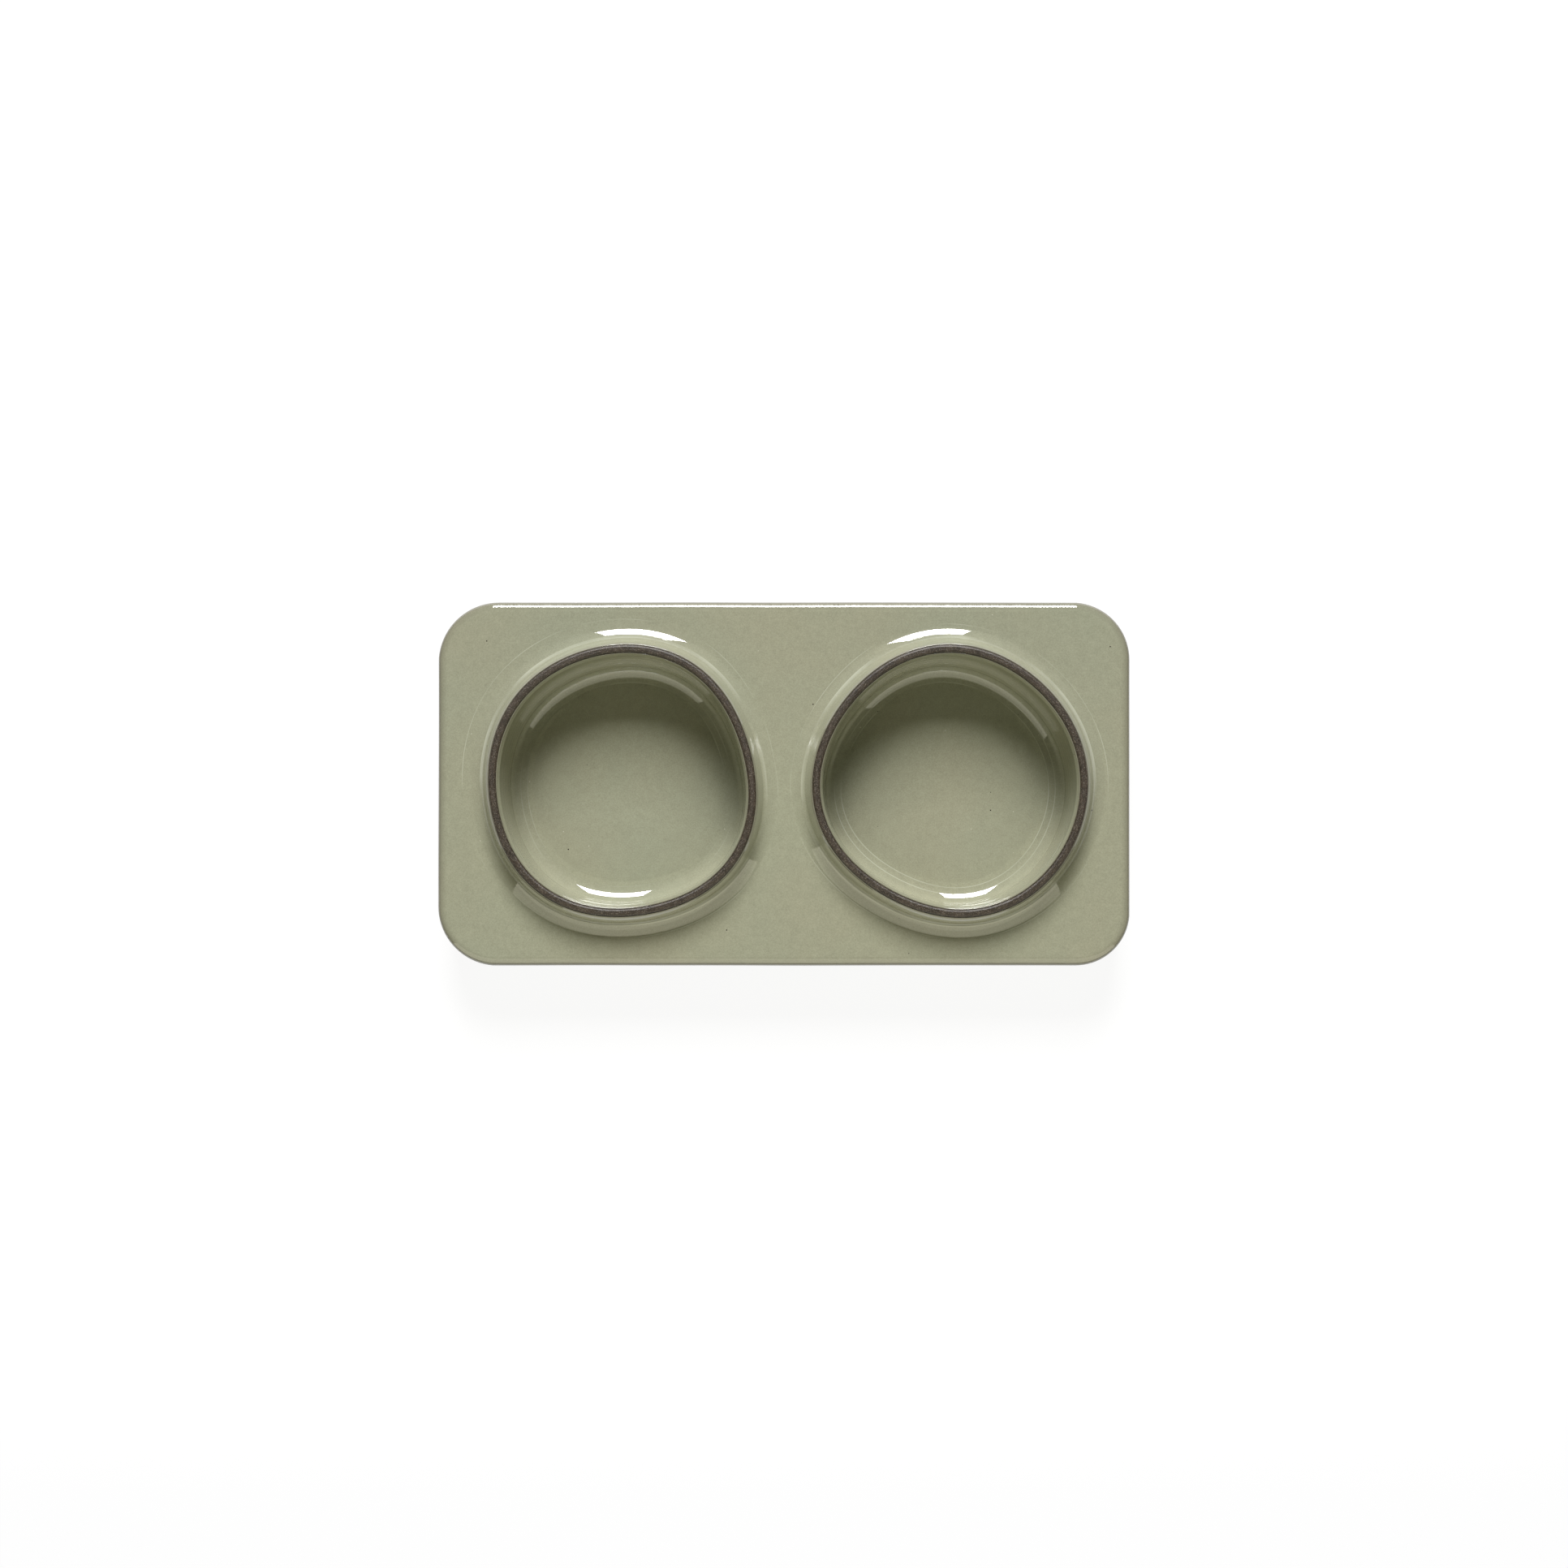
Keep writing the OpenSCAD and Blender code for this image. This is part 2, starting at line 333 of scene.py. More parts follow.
def floor_profile():
    """Glaze on a cup's floor, from its middle out: a low dome that ends in the moat."""
    dome_r = CUP_R - INNER_FOOT
    floor = []
    for i in range(FLOOR_RINGS):
        r = dome_r * i / FLOOR_RINGS
        floor.append((r - CUP_R, MOAT_Z + DOME_RISE * (1 - (r / dome_r) ** DOME_POWER)))
    floor.append((dome_r - CUP_R - FLOOR_END_GAP, MOAT_Z + FLOOR_END_LIFT))
    return floor


def curve_profile():
    """Glaze from the moat up to a cup's wall: a hollow curve, then a tight turn upright."""
    curve = inwards(arc((INNER_FOOT, CURVE_TOP_Z), INNER_CURVE_RUN, INNER_CURVE_RISE,
                        270, 270 - INNER_TURN, steps=30))
    curve = with_ridges(curve, CURVE_RIDGES)
    end = curve[-1]
    slope = math.atan2(end[1] - curve[-2][1], end[0] - curve[-2][0])
    middle = (end[0] - INNER_TIGHT_R * math.sin(slope), end[1] + INNER_TIGHT_R * math.cos(slope))
    turn = arc(middle, INNER_TIGHT_R, INNER_TIGHT_R, math.degrees(slope) - 90, 0, steps=6)
    return curve + turn[1:]


def inner_profile():
    """Glaze inside a cup, from its middle out and up: floor, curve, wall, lip and bead."""
    curve = curve_profile()
    lip_foot = (-INNER_WALL, LIP_FOOT_Z)
    wall = line(curve[-1], lip_foot, steps=60)[1:]
    lip = line(lip_foot, (-BEAD_OUT, BAND_EDGE_Z - BEAD_R), steps=24)[1:]
    bead = inwards(arc((BAND_HALF + BEAD_R, BAND_EDGE_Z), BEAD_R, BEAD_R, 20, 190, steps=6))
    wall = with_ridges(wall, WALL_RIDGES)
    lip = with_ridges(lip, LIP_RIDGES)
    return floor_profile() + curve + wall + lip + bead


def bare_band():
    """Top of a rim, from its outer edge to its inner one, both left out."""
    steps = 28
    band = []
    for i in range(1, steps):
        share = 1 - 2 * i / steps
        slope = max(0, abs(share) - BAND_FLAT) / (1 - BAND_FLAT)
        fall = BAND_DOME * slope ** BAND_DOME_POWER + (1 - BAND_DOME) * share ** BAND_EDGE_POWER
        band.append((BAND_HALF * share, RIM_Z - BAND_ROUND * fall))
    return band


def clay_side():
    """Clay under the glaze at the top of a wall, from the bare band down."""
    return [
        (BAND_HALF, BAND_EDGE_Z),
        (BAND_HALF + CLAY_STEP_OUT, BAND_EDGE_Z - CLAY_STEP_DROP),
        (WALL_HALF, BAND_EDGE_Z - CLAY_SLOPE_DROP),
    ]


def curve_back():
    """Underside of the glaze in the hollow curve between wall and floor, from the wall down."""
    run = INNER_FOOT - WALL_HALF
    return inwards(arc((INNER_FOOT, CURVE_TOP_Z), run, CURVE_TOP_Z - BED_Z, 180, 270, steps=12))


# The cups

def cup_liner(side, material):
    """Glaze inside a cup, as a coat with a thickness."""
    back = inwards(clay_side()) + curve_back() + [(-CUP_R, BED_Z)]
    bm = turned(inner_profile() + back, CUP_STEPS, highlight_marks=INNER_HIGHLIGHTS)
    push_out_of_round(bm, side, shift_floor=True)
    finish_piece(bm, f"{side}_cup_liner", [f"{side}_cup_glaze"], material)


def cup_wall(side, material):
    """Clay wall of a cup, with a rough domed rim left bare."""
    outside = [(WALL_HALF, WALL_FOOT_Z)] + clay_side()[::-1]
    bm = turned(outside + bare_band() + inwards(outside[::-1]), BAND_STEPS, closed=True)
    push_out_of_round(bm, side)
    for vert in bm.verts:
        if vert.co.z > BAND_EDGE_Z:
            vert.co.z -= RIM_GRAIN * abs(noise.noise(vert.co / RIM_GRAIN_REACH))
    finish_piece(bm, f"{side}_bare_rim", [f"{side}_cup_wall"], material)


def cup_floor(side, material):
    """Clay floor of a cup, with a softened edge underneath and a seat for the wall."""
    profile = [(-CUP_R, FLOOR_UNDER_Z)]
    profile += arc((WALL_HALF - FLOOR_SOFT_R, FLOOR_UNDER_Z + FLOOR_SOFT_R),
                   FLOOR_SOFT_R, FLOOR_SOFT_R, 270, 360, steps=5)
    profile += [(WALL_HALF, WALL_FOOT_Z), (-WALL_HALF, WALL_FOOT_Z), (-WALL_HALF, BED_Z),
                (-CUP_R, BED_Z)]
    bm = turned(profile, CUP_STEPS)
    push_out_of_round(bm, side)
    finish_piece(bm, f"{side}_floor_disc", [f"{side}_cup_floor"], material,
                 smooth=False)


def floor_coil(side, material):
    """Coil of clay in the angle between a cup's wall and floor."""
    bm = turned(curve_back() + [(-WALL_HALF, BED_Z)], CUP_STEPS, closed=True)
    push_out_of_round(bm, side, shift_floor=True)
    finish_piece(bm, f"{side}_inner_coil", [f"{side}_floor_coil"], material)


def collar_coil(side, material):
    """Coil of clay in the angle between a cup's wall and the tray."""
    flare = arc((FLARE_MID, FLARE_MID_Z), FLARE_R + GLAZE_T, FLARE_R + GLAZE_T,
                270 - FLARE_SLOPE, 270 - FOOT_SLOPE, steps=10)
    profile = [(WALL_HALF, CREASE_Z + COLLAR_RISE)] + flare + [(WALL_HALF, flare[-1][1])]
    bm = turned(profile, CUP_STEPS, closed=True)
    push_out_of_round(bm, side)
    finish_piece(bm, f"{side}_outer_coil", [f"{side}_collar_coil"], material)


# The tray

def corner_centre(sx, sy):
    r = CORNER_R[sx, sy]
    return Vector((sx * (HALF_L - r), sy * (HALF_W - r)))


def corner_arc(sx, sy, start, inset):
    """Outline points round a corner, a quarter turn from a start angle, last one left out."""
    centre = corner_centre(sx, sy)
    r = CORNER_R[sx, sy] - inset
    turn = [math.radians(start + 90 * i / CORNER_STEPS) for i in range(CORNER_STEPS)]
    return [centre + r * Vector((math.cos(a), math.sin(a))) for a in turn]


def evenly(start, end):
    """Points from start towards end at about the outline's pitch, end left out."""
    count = max(1, round((end - start).length / OUTLINE_PITCH))
    return [start.lerp(end, i / count) for i in range(count)]


def joined(stretches):
    """One outline from arcs and gaps: None stands for an even straight run to the next arc."""
    points = []
    for i, stretch in enumerate(stretches):
        if stretch is None:
            following = stretches[(i + 1) % len(stretches)]
            points += evenly(points[-1], following[0])[1:]
        else:
            points += stretch
    return points


def half_outline(side, inset):
    """Outline of the left or right half of the tray, anticlockwise, starting at the seam."""
    back = Vector((SEAM_X, HALF_W - inset))
    front = Vector((SEAM_X, inset - HALF_W))
    if side == "left":
        start, end = front, back
        arcs = [corner_arc(-1, 1, 90, inset), corner_arc(-1, -1, 180, inset)]
    else:
        start, end = back, front
        arcs = [corner_arc(1, -1, 270, inset), corner_arc(1, 1, 0, inset)]
    seam = [start.lerp(end, i / SEAM_STEPS) for i in range(SEAM_STEPS)]
    return joined([seam, [end], None, arcs[0], None, arcs[1], None, [start]])[:-1]


def tray_outline(inset):
    """Outline of the whole tray, anticlockwise."""
    quarter = [corner_arc(1, 1, 0, inset), corner_arc(-1, 1, 90, inset),
               corner_arc(-1, -1, 180, inset), corner_arc(1, -1, 270, inset)]
    return joined([quarter[0], None, quarter[1], None, quarter[2], None, quarter[3], None])


def outward(point):
    """Direction square to the tray's edge at a point near it."""
    sx = 1 if point.x > 0 else -1
    sy = 1 if point.y > 0 else -1
    centre = corner_centre(sx, sy)
    out = Vector((sx * max(0, sx * (point.x - centre.x)), sy * max(0, sy * (point.y - centre.y))))
    return out.normalized()


def extrude_outline(bm, edges, profile, inset, end_lift=0):
    """Extrude edges of the tray's outline through a profile of (off, z) points.

    inset is how far in from the outline the edges lie at first. end_lift is the share of its
    drop by which the soft edge lies higher at the two ends of the tray.
    """
    highlight_layer = bm.verts.layers.float.get(HIGHLIGHT_LINE)
    edge_layer = bm.verts.layers.float.get(EDGE)
    for off, z in profile:
        down_side = clamped((TRAY_Z - EDGE_RUN - z) / EDGE_RUN)
        new = bmesh.ops.extrude_edge_only(bm, edges=edges)["geom"]
        edges = [item for item in new if isinstance(item, bmesh.types.BMEdge)]
        for vert in [item for item in new if isinstance(item, bmesh.types.BMVert)]:
            out = outward(vert.co.xy)
            vert.co.x += out.x * (off + inset)
            vert.co.y += out.y * (off + inset)
            vert.co.z = z + max(0, TRAY_Z - z) * end_lift * out.x ** 2 * (z > TRAY_Z - EDGE_RUN)
            # New outline vertices carry no painted highlight line, and a share across the soft edge
            # that sets how much it is darkened, partly as painted shade
            if highlight_layer:
                vert[highlight_layer] = 0
                vert[edge_layer] = (1 + off / EDGE_RUN) * (1 - SIDE_FADE * down_side)
        inset = -off


def highlight_line_r(side, angle):
    """How far the painted highlight line round a cup is from the cup's centre at an angle."""
    least, extra, furthest = HIGHLIGHT_LINES[side]
    towards = 0.5 + 0.5 * math.cos(angle - math.radians(furthest))
    return CUP_R + lobe_rise(CUPS[side][1], angle) + least + extra * towards


def flare_lift(z):
    """Share of the flare's extra height at a height: 1 at its top, 0 at the band and the tray."""
    if z < FLARE_TOP_Z:
        lifted = (z - TRAY_Z) / (FLARE_TOP_Z - TRAY_Z)
    else:
        lifted = min(1, (BAND_EDGE_Z - z) / (BAND_EDGE_Z - FLARE_TOP_Z))
    return max(0, lifted)


def half_top(side):
    """Glaze of half the tray: bead, shoulder and flare of a cup, and the flat to the edge.

    It is spun as one round piece. Each vertex then moves along the ray from the cup's centre to
    its own point of the outline.
    """
    outline = half_outline(side, EDGE_RUN)
    centre, lobes = CUPS[side]
    foot_r = CUP_R + FLARE_FOOT
    rings = [(FLARE_FOOT + step, TRAY_Z) for step in LINE_RINGS + FLAT_RINGS]
    bm = turned(outer_profile() + rings, len(outline), highlight_marks=OUTER_HIGHLIGHTS)
    for vert in bm.verts:
        r = math.hypot(vert.co.x, vert.co.y)
        step = round(math.atan2(vert.co.y, vert.co.x) / math.tau * len(outline)) % len(outline)
        ray = outline[step] - Vector(centre)
        angle = math.atan2(ray.y, ray.x)
        growth = FLARE_GROWTH * (0.5 - 0.5 * math.sin(angle))
        flare = max(0, min(r, foot_r) - CUP_R - FLARE_OUT)
        far = min(r, foot_r) + lobe_rise(lobes, angle) + flare * growth
        down = clamped((BAND_EDGE_Z - vert.co.z) / (BAND_EDGE_Z - CREASE_Z))
        front = max(0, -math.sin(angle))
        far += SHOULDER_BULGE * BULGE_SCALE * down * (1 - down) ** 2 * front ** 2
        # pale is the radius of the painted highlight line, kept just beyond the flare
        pale = max(far + 3 * HIGHLIGHT_HALF, highlight_line_r(side, angle))
        beyond = r - foot_r
        if beyond > 2 * LINE_RINGS[-1]:
            far = pale + HIGHLIGHT_HALF + (ray.length - pale - HIGHLIGHT_HALF) * beyond
        elif beyond > RING_GAP / 2:
            far = pale + (beyond - LINE_RINGS[1]) / RING_GAP * HIGHLIGHT_HALF
        vert.co.z += growth * (FLARE_TOP_Z - TRAY_Z) * flare_lift(vert.co.z)
        vert.co.x = centre[0] + far * math.cos(angle)
        vert.co.y = centre[1] + far * math.sin(angle)
    return bm


def edge_profile():
    """Glaze from the tray's top down: soft curve, tight curve, side and rounded lower edge."""
    slope = math.radians(EDGE_SOFT_SLOPE)
    side = arc((-EDGE_RUN, TRAY_Z - EDGE_SOFT_R), EDGE_SOFT_R, EDGE_SOFT_R,
               90, 90 - EDGE_SOFT_SLOPE, steps=8)[1:]
    tight_r = -side[-1][0] / (1 - math.sin(slope))
    tight_z = side[-1][1] - tight_r * math.cos(slope)
    side += arc((-tight_r, tight_z), tight_r, tight_r, 90 - EDGE_SOFT_SLOPE, 0, steps=8)[1:]
    low = BARE_FOOT + GLAZE_T
    side += line((0, tight_z), (0, low), steps=5)[1:]
    side += arc((-GLAZE_T, low), GLAZE_T, GLAZE_T, 0, -90, steps=5)[1:]
    return side


def tray_coat(material):
    """Glaze on the tray and the outside of the cups, in one coat down to the bare foot."""
    bm = bmesh.new()
    for side in CUPS:
        half = half_top(side)
        mesh = bpy.data.meshes.new(f"{side}_half")
        half.to_mesh(mesh)
        half.free()
        bm.from_mesh(mesh)
        bpy.data.meshes.remove(mesh)
    bmesh.ops.remove_doubles(bm, verts=bm.verts, dist=JOIN_GAP)
    bm.verts.layers.float.new(EDGE)
    brink = [edge for edge in bm.edges
             if edge.is_boundary and edge.verts[0].co.z < TRAY_Z + GLAZE_T]
    extrude_outline(bm, brink, edge_profile(), EDGE_RUN, end_lift=END_LIFT)
    bmesh.ops.recalc_face_normals(bm, faces=bm.faces)
    flat = max(bm.faces, key=lambda face: abs(face.normal.z) * face.calc_area())
    if flat.normal.z < 0:
        bmesh.ops.reverse_faces(bm, faces=bm.faces)
    piece = finish_piece(bm, "tray_coat", ["tray_glaze"], material)
    thick = piece.modifiers.new("Glaze thickness", "SOLIDIFY")
    thick.thickness = GLAZE_T
    thick.offset = -1
    thick.use_even_offset = True


def foot_strip(material):
    """Strip of clay under the edge of the tray, with a softened bare foot."""
    bm = bmesh.new()
    inner = GLAZE_T + SKIRT_T
    verts = [bm.verts.new((point.x, point.y, SKIRT_TOP_Z)) for point in tray_outline(inner)]
    edges = [bm.edges.new(pair) for pair in zip(verts, verts[1:] + verts[:1])]
    profile = arc((-inner + FOOT_CHAMFER, FOOT_CHAMFER), FOOT_CHAMFER, FOOT_CHAMFER,
                  180, 270, steps=5)
    profile += arc((-GLAZE_T - FOOT_CHAMFER, FOOT_CHAMFER), FOOT_CHAMFER, FOOT_CHAMFER,
                   270, 360, steps=6)
    profile += [(-GLAZE_T, BARE_FOOT), (-GLAZE_T, SKIRT_TOP_Z), (-inner, SKIRT_TOP_Z)]
    extrude_outline(bm, edges, profile, inner)
    bmesh.ops.remove_doubles(bm, verts=bm.verts, dist=JOIN_GAP)
    bmesh.ops.recalc_face_normals(bm, faces=bm.faces)
    finish_piece(bm, "foot_strip", ["tray_skirt"], material)


# Materials

GLAZE_COOL = (0.444, 0.456, 0.333, 1)
GLAZE_WARM = (0.462, 0.454, 0.327, 1)
GLAZE_DEEP = (0.205, 0.208, 0.146, 1)
# Pale colour painted along fine lines as highlights
GLAZE_HIGHLIGHT = (0.60, 0.61, 0.48, 1)
# Dark brown of thin glaze, also painted as shade on the tray's soft edge
GLAZE_THIN_AND_SHADE = (0.16, 0.14, 0.10, 1)
PINHOLE = (0.05, 0.04, 0.03, 1)
PALE_SPECK = (0.62, 0.60, 0.48, 1)
GLAZE_IOR = 2.1

CLAY_DARK = (0.022, 0.016, 0.010, 1)
CLAY_BROWN = (0.066, 0.048, 0.031, 1)
CLAY_SAND = (0.38, 0.32, 0.25, 1)
CLAY_IOR = 1.6


def new_group(name, inputs, outputs):
    """A shader node group with named float, colour or vector sockets."""
    group = bpy.data.node_groups.new(name, "ShaderNodeTree")
    for label, kind in inputs:
        group.interface.new_socket(label, in_out="INPUT", socket_type=kind)
    for label, kind in outputs:
        group.interface.new_socket(label, in_out="OUTPUT", socket_type=kind)
    return group, group.nodes.new("NodeGroupInput"), group.nodes.new("NodeGroupOutput")


def feed(tree, socket, value):
    """Give a socket a number, a colour or another node's output."""
    if isinstance(value, bpy.types.NodeSocket):
        tree.links.new(value, socket)
    else:
        socket.default_value = value


def maths(tree, operation, *values):
    """A math node whose inputs are numbers or sockets."""
    step = tree.nodes.new("ShaderNodeMath")
    step.operation = operation
    for socket, value in zip(step.inputs, values):
        feed(tree, socket, value)
    return step.outputs[0]


def spread(tree, value, low, high, to_low=0.0, to_high=1.0):
    """A map range node, clamped."""
    step = tree.nodes.new("ShaderNodeMapRange")
    tree.links.new(value, step.inputs["Value"])
    step.inputs["From Min"].default_value = low
    step.inputs["From Max"].default_value = high
    step.inputs["To Min"].default_value = to_low
    step.inputs["To Max"].default_value = to_high
    return step.outputs["Result"]


def blend(tree, factor, first, second):
    """A colour mix whose inputs are colours or sockets."""
    mix = tree.nodes.new("ShaderNodeMix")
    mix.data_type = "RGBA"
    for i, value in ((0, factor), (6, first), (7, second)):
        feed(tree, mix.inputs[i], value)
    return mix.outputs[2]


def attribute(tree, name):
    """A vertex attribute's value."""
    reader = tree.nodes.new("ShaderNodeAttribute")
    reader.attribute_name = name
    return reader.outputs["Fac"]


def noise_value(tree, vector, scale, detail=2.0, roughness=0.5):
    """A noise texture's value, about 0 to 1, at a scale of features per metre."""
    texture = tree.nodes.new("ShaderNodeTexNoise")
    texture.inputs["Scale"].default_value = scale
    texture.inputs["Detail"].default_value = detail
    texture.inputs["Roughness"].default_value = roughness
    tree.links.new(vector, texture.inputs["Vector"])
    return texture.outputs["Fac"]


def fired_grain_group():
    """Fine grain, mottle and slow clouding of a fired surface, each about -1 to 1."""
    group, start, end = new_group(
        "fired_grain",
        [("Vector", "NodeSocketVector")],
        [("Grain", "NodeSocketFloat"), ("Mottle", "NodeSocketFloat"), ("Cloud", "NodeSocketFloat")])
    vector = start.outputs["Vector"]
    grain = noise_value(group, vector, scale=3000, roughness=0.7)
    mottle = noise_value(group, vector, scale=420, detail=3.0, roughness=0.6)
    cloud = noise_value(group, vector, scale=34)
    for value, label in ((grain, "Grain"), (mottle, "Mottle"), (cloud, "Cloud")):
        group.links.new(spread(group, value, 0.25, 0.75, -1.0, 1.0), end.inputs[label])
    return group


def specks_group():
    """Sparse round specks: 1 inside a speck, 0 elsewhere."""
    group, start, end = new_group(
        "specks",
        [("Vector", "NodeSocketVector"), ("Per metre", "NodeSocketFloat"),
         ("Radius share", "NodeSocketFloat"), ("Chance", "NodeSocketFloat")],
        [("Speck", "NodeSocketFloat")])
    cells = group.nodes.new("ShaderNodeTexVoronoi")
    group.links.new(start.outputs["Vector"], cells.inputs["Vector"])
    group.links.new(start.outputs["Per metre"], cells.inputs["Scale"])
    near = maths(group, "LESS_THAN", cells.outputs["Distance"], start.outputs["Radius share"])
    split = group.nodes.new("ShaderNodeSeparateColor")
    group.links.new(cells.outputs["Color"], split.inputs[0])
    picked = maths(group, "LESS_THAN", split.outputs[0], start.outputs["Chance"])
    group.links.new(maths(group, "MULTIPLY", near, picked), end.inputs["Speck"])
    return group


def use_group(tree, group, vector, **values):
    """Place a group in a material, with its vector linked and its numbers set."""
    place = tree.nodes.new("ShaderNodeGroup")
    place.node_tree = group
    tree.links.new(vector, place.inputs["Vector"])
    for label, value in values.items():
        place.inputs[label.replace("_", " ")].default_value = value
    return place


def new_material(name):
    """A material with a Principled BSDF and Object coordinates."""
    material = bpy.data.materials.new(name)
    material.use_nodes = True
    tree = material.node_tree
    shader = tree.nodes["Principled BSDF"]
    vector = tree.nodes.new("ShaderNodeTexCoord").outputs["Object"]
    return material, tree, shader, vector


def bump(tree, shader, height, distance, strength):
    step = tree.nodes.new("ShaderNodeBump")
    step.inputs["Distance"].default_value = distance
    step.inputs["Strength"].default_value = strength
    tree.links.new(height, step.inputs["Height"])
    tree.links.new(step.outputs["Normal"], shader.inputs["Normal"])


def thin_glaze_and_shade(tree, vector, thin_and_shaded_edge):
    """Where the glaze is darker: thin beside the bare rims, and with the edge flag on the tray's
    soft edge, partly thin glaze and partly painted shade where it turns from the light.
    """
    height = tree.nodes.new("ShaderNodeSeparateXYZ")
    tree.links.new(vector, height.inputs[0])
    by_rim = spread(tree, height.outputs["Z"], BAND_EDGE_Z - 0.0004, BAND_EDGE_Z - 0.0001,
                    to_high=0.5)
    if not thin_and_shaded_edge:
        return by_rim
    # Across the soft edge: partly thin glaze, partly painted shade, growing down the slope and the
    # tight turn
    across = attribute(tree, EDGE)
    slope = spread(tree, across, 0.15, 0.78, to_high=0.36)
    turn = spread(tree, across, 0.74, 0.96, to_high=0.5)
    return maths(tree, "MAXIMUM", by_rim, maths(tree, "ADD", slope, turn))


def glaze_material(name, grain_group, speck_group, thin_and_shaded_edge=False):
    """Glossy sage glaze, cool and warm in clouds, with fine grain, pinholes and pale specks.

    It is thin and brown beside the bare rims. With the edge flag set it is darker on the tray's
    soft edge too, partly thin glaze and partly painted shade where the edge turns from the light.
    The pale fine lines are painted highlights.
    """
    material, tree, shader, vector = new_material(name)
    grain = use_group(tree, grain_group, vector)
    clouds = spread(tree, grain.outputs["Cloud"], -0.9, 0.9)
    colour = blend(tree, clouds, GLAZE_COOL, GLAZE_WARM)
    body = maths(tree, "MULTIPLY_ADD", grain.outputs["Mottle"], 0.3, grain.outputs["Grain"])
    fine = spread(tree, body, -1.1, 1.1, to_high=0.5)
    colour = blend(tree, fine, colour, GLAZE_DEEP)

    # Painted highlights: the pale colour along the marked vertices, broken up by slow noise
    highlight_marks = attribute(tree, HIGHLIGHT_LINE)
    broken = spread(tree, noise_value(tree, vector, scale=45, detail=1.0), 0.42, 0.62,
                    to_high=0.95)
    colour = blend(tree, maths(tree, "MULTIPLY", highlight_marks, broken), colour, GLAZE_HIGHLIGHT)
    # Darkened beside the rims where the glaze is thin, and on the tray's soft edge partly as thin
    # glaze and partly as painted shade
    colour = blend(tree, thin_glaze_and_shade(tree, vector, thin_and_shaded_edge), colour, GLAZE_THIN_AND_SHADE)

    pale = use_group(tree, speck_group, vector, Per_metre=420, Radius_share=0.07, Chance=0.04)
    colour = blend(tree, pale.outputs["Speck"], colour, PALE_SPECK)
    holes = use_group(tree, speck_group, vector, Per_metre=380, Radius_share=0.075, Chance=0.03)
    colour = blend(tree, holes.outputs["Speck"], colour, PINHOLE)
    tree.links.new(colour, shader.inputs["Base Color"])

    gloss = spread(tree, grain.outputs["Mottle"], -1, 1, 0.015, 0.035)
    tree.links.new(gloss, shader.inputs["Roughness"])
    shader.inputs["IOR"].default_value = GLAZE_IOR
    pits = maths(tree, "MULTIPLY", holes.outputs["Speck"], -1)
    relief = maths(tree, "MULTIPLY_ADD", grain.outputs["Mottle"], 0.12, pits)
    bump(tree, shader, relief, distance=0.00001, strength=0.3)
    return material


def clay_material(grain_group, speck_group):
    """Bare dark brown stoneware, matt and sandy, with pale grains of sand."""
    material, tree, shader, vector = new_material("bare_stoneware")
    grain = use_group(tree, grain_group, vector)
    body = maths(tree, "ADD", grain.outputs["Grain"], grain.outputs["Mottle"])
    colour = blend(tree, spread(tree, body, -1.2, 1.2), CLAY_DARK, CLAY_BROWN)
    sand = use_group(tree, speck_group, vector, Per_metre=5200, Radius_share=0.5, Chance=0.25)
    colour = blend(tree, maths(tree, "MULTIPLY", sand.outputs["Speck"], 0.45), colour, CLAY_SAND)
    tree.links.new(colour, shader.inputs["Base Color"])

    gloss = spread(tree, grain.outputs["Grain"], -1, 1, 0.28, 0.44)
    tree.links.new(gloss, shader.inputs["Roughness"])
    shader.inputs["IOR"].default_value = CLAY_IOR
    height = maths(tree, "ADD", grain.outputs["Grain"], sand.outputs["Speck"])
    bump(tree, shader, height, distance=0.00006, strength=0.5)
    return material


# Stage, light and camera

TABLE_R = 4
WHITE = (1, 1, 1, 1)
PAPER = (0.85, 0.85, 0.85, 1)
PAPER_SEEN = (0.14, 0.14, 0.14, 1)
PAPER_GLOW = 0.9

# A window above and behind the dish
KEY_PLACE = (-0.02, 1.5, 1.42)
KEY_TARGET = (0, 0, 0.025)
KEY_SIZE = (0.78, 0.95)
KEY_RADIANCE = 22.8
ROOM_LIGHT = 0.003

# An upright warm white card in front of the dish, lit less and less towards its top: lowest
# and highest point and radiance of each part
CARD_X = -0.002
CARD_Y = -0.2
CARD_W = 0.565
CARD_COLOUR = (1, 0.975, 0.78)
CARD_PARTS = {
    "low card": (0.065, 0.17, 1.1),
    "middle card": (0.17, 0.3, 0.85),
    "high card": (0.3, 0.52, 0.6),
}

# Straight above the tray, where 0.43 m of it fills the width of the photograph
CAMERA_UP = 0.75
CAMERA_NEAR = 0.01
VIEW_W = 0.43


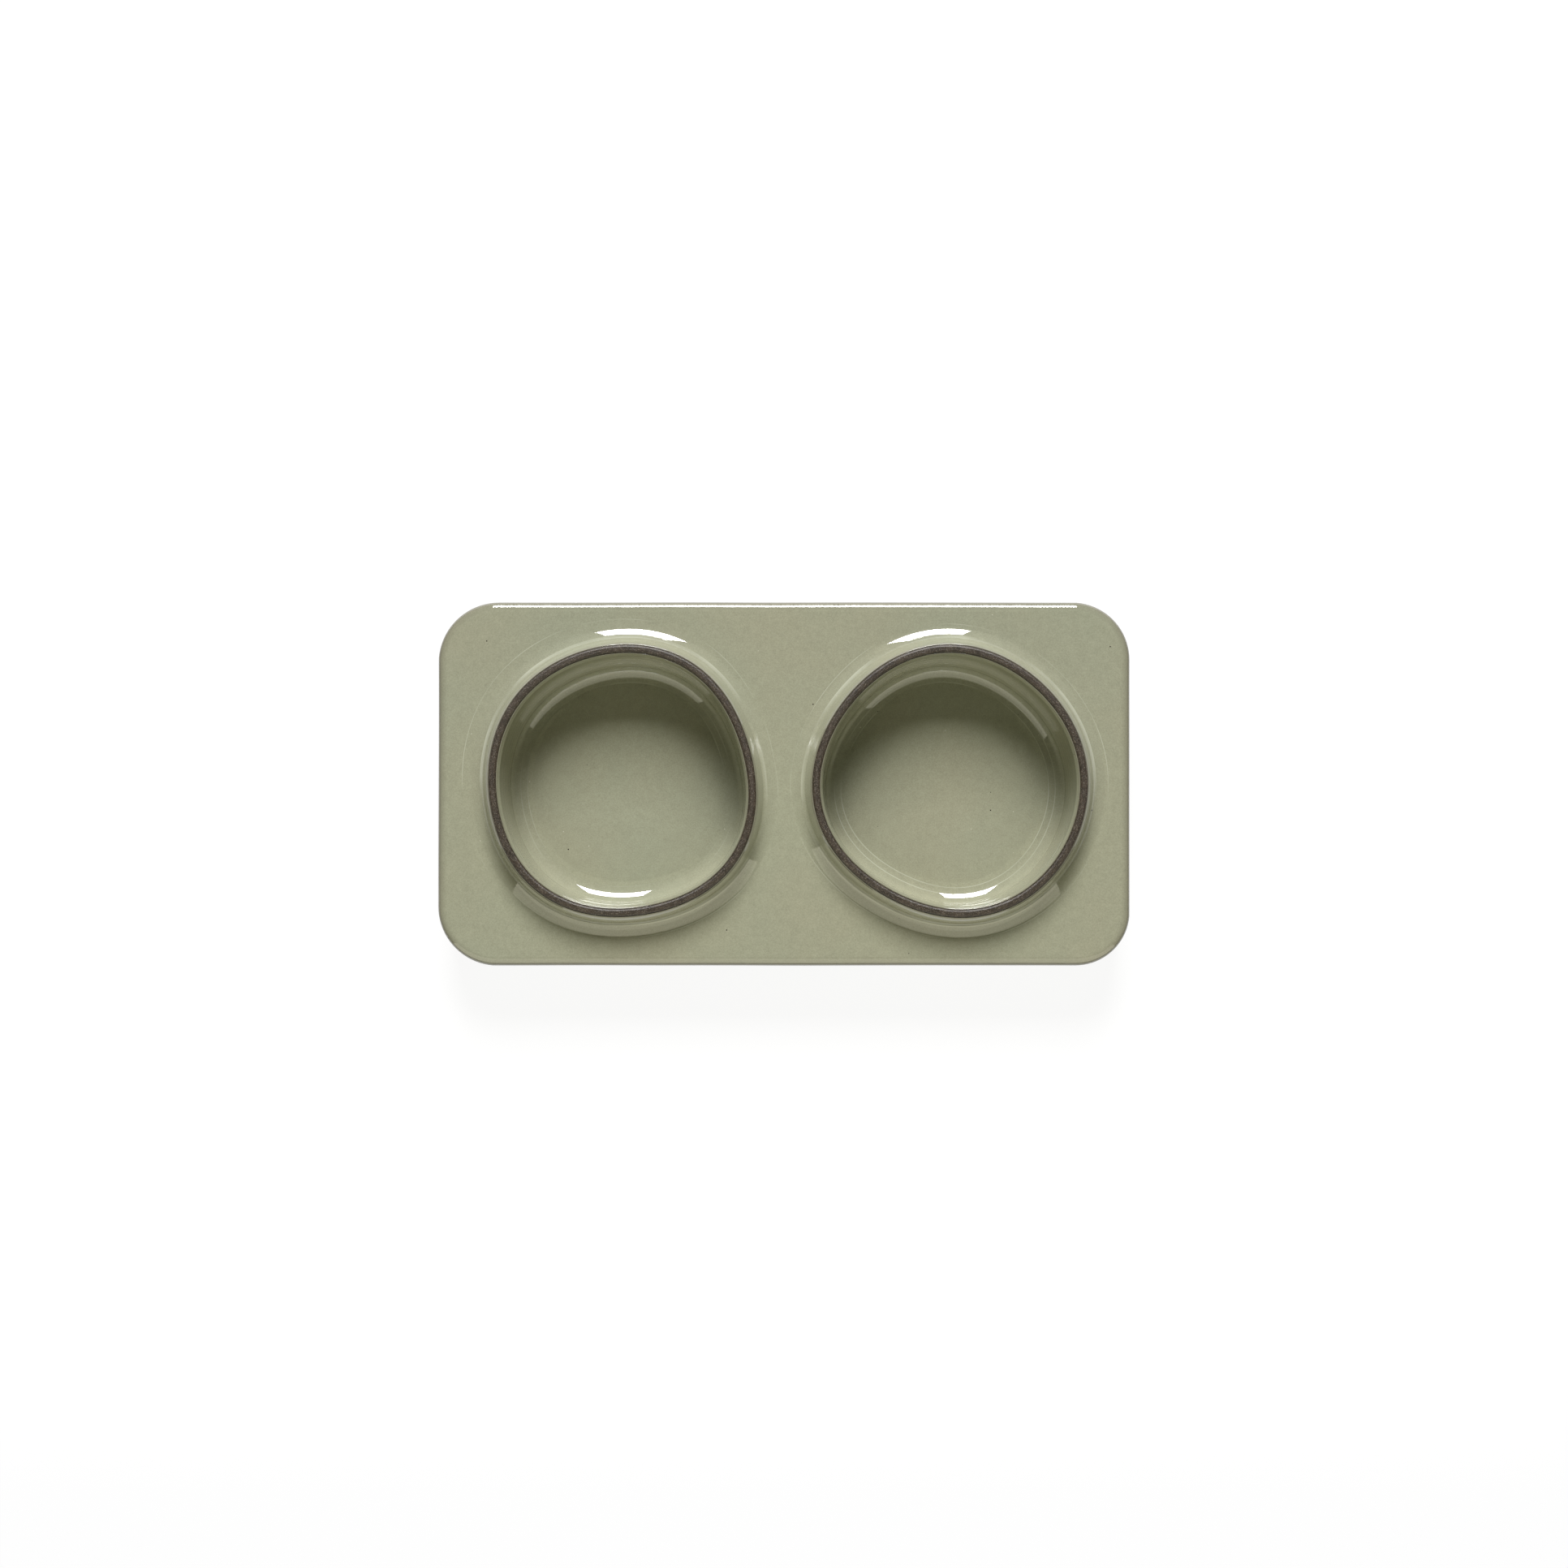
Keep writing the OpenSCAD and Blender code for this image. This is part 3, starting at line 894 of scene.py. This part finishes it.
def white_paper():
    """A white surface that shows white to the camera and keeps a soft shadow."""
    material = bpy.data.materials.new("white_paper")
    material.use_nodes = True
    tree = material.node_tree
    tree.nodes.clear()
    paper = tree.nodes.new("ShaderNodeBsdfDiffuse")
    paper.inputs["Color"].default_value = PAPER
    seen = tree.nodes.new("ShaderNodeBsdfDiffuse")
    seen.inputs["Color"].default_value = PAPER_SEEN
    glow = tree.nodes.new("ShaderNodeEmission")
    glow.inputs["Strength"].default_value = PAPER_GLOW
    both = tree.nodes.new("ShaderNodeAddShader")
    tree.links.new(seen.outputs[0], both.inputs[0])
    tree.links.new(glow.outputs[0], both.inputs[1])
    path = tree.nodes.new("ShaderNodeLightPath")
    pick = tree.nodes.new("ShaderNodeMixShader")
    shown = maths(tree, "MAXIMUM", path.outputs["Is Camera Ray"], path.outputs["Is Glossy Ray"])
    shown = maths(tree, "MAXIMUM", shown, path.outputs["Is Transmission Ray"])
    tree.links.new(shown, pick.inputs[0])
    tree.links.new(paper.outputs[0], pick.inputs[1])
    tree.links.new(both.outputs[0], pick.inputs[2])
    out = tree.nodes.new("ShaderNodeOutputMaterial")
    tree.links.new(pick.outputs[0], out.inputs["Surface"])
    return material


def table(material):
    bm = bmesh.new()
    bmesh.ops.create_circle(bm, cap_ends=True, segments=96, radius=TABLE_R)
    mesh = bpy.data.meshes.new("table")
    bm.to_mesh(mesh)
    bm.free()
    mesh.materials.append(material)
    floor = bpy.data.objects.new("table", mesh)
    bpy.context.scene.collection.objects.link(floor)


def soft_light(name, place, target, size, radiance, colour):
    """A rectangular light of a given radiance, turned to a target and unseen by the camera."""
    lamp = bpy.data.lights.new(name, "AREA")
    lamp.shape = "RECTANGLE"
    lamp.size, lamp.size_y = size
    lamp.energy = radiance * math.pi * size[0] * size[1]
    lamp.color = colour
    light = bpy.data.objects.new(name, lamp)
    light.location = place
    light.rotation_euler = (Vector(target) - Vector(place)).to_track_quat("-Z", "Y").to_euler()
    light.visible_camera = False
    bpy.context.scene.collection.objects.link(light)


def card_lights():
    """The parts of the card, one above another, each facing straight back."""
    for name, (low, high, radiance) in CARD_PARTS.items():
        middle = (low + high) / 2
        soft_light(name, (CARD_X, CARD_Y, middle), (CARD_X, 0, middle), (CARD_W, high - low),
                   radiance, CARD_COLOUR)


def world_light(strength):
    """Dim even light all round, with white behind the dish."""
    world = bpy.data.worlds.new("studio")
    world.use_nodes = True
    tree = world.node_tree
    tree.nodes.clear()
    room = tree.nodes.new("ShaderNodeBackground")
    room.inputs["Color"].default_value = WHITE
    room.inputs["Strength"].default_value = strength
    white = tree.nodes.new("ShaderNodeBackground")
    white.inputs["Color"].default_value = WHITE
    path = tree.nodes.new("ShaderNodeLightPath")
    pick = tree.nodes.new("ShaderNodeMixShader")
    out = tree.nodes.new("ShaderNodeOutputWorld")
    tree.links.new(path.outputs["Is Camera Ray"], pick.inputs[0])
    tree.links.new(room.outputs[0], pick.inputs[1])
    tree.links.new(white.outputs[0], pick.inputs[2])
    tree.links.new(pick.outputs[0], out.inputs["Surface"])
    bpy.context.scene.world = world


def camera():
    lens = bpy.data.cameras.new("above")
    lens.angle = 2 * math.atan(VIEW_W / 2 / CAMERA_UP)
    lens.clip_start = CAMERA_NEAR
    eye = bpy.data.objects.new("above", lens)
    eye.location = (0, 0, TRAY_Z + CAMERA_UP)
    bpy.context.scene.collection.objects.link(eye)
    bpy.context.scene.camera = eye


grain_group = fired_grain_group()
speck_group = specks_group()
tray_finish = glaze_material("tray_glaze", grain_group, speck_group, thin_and_shaded_edge=True)
cup_finish = glaze_material("cup_glaze", grain_group, speck_group)
clay = clay_material(grain_group, speck_group)

tray_coat(tray_finish)
foot_strip(clay)
for cup_side in CUPS:
    cup_liner(cup_side, cup_finish)
    cup_wall(cup_side, clay)
    cup_floor(cup_side, clay)
    floor_coil(cup_side, clay)
    collar_coil(cup_side, clay)

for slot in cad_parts["tray_slab"].material_slots:
    slot.material = clay

table(white_paper())
soft_light("key", KEY_PLACE, KEY_TARGET, KEY_SIZE, KEY_RADIANCE, WHITE[:3])
card_lights()
world_light(ROOM_LIGHT)
camera()
bpy.context.scene.view_settings.view_transform = "Standard"
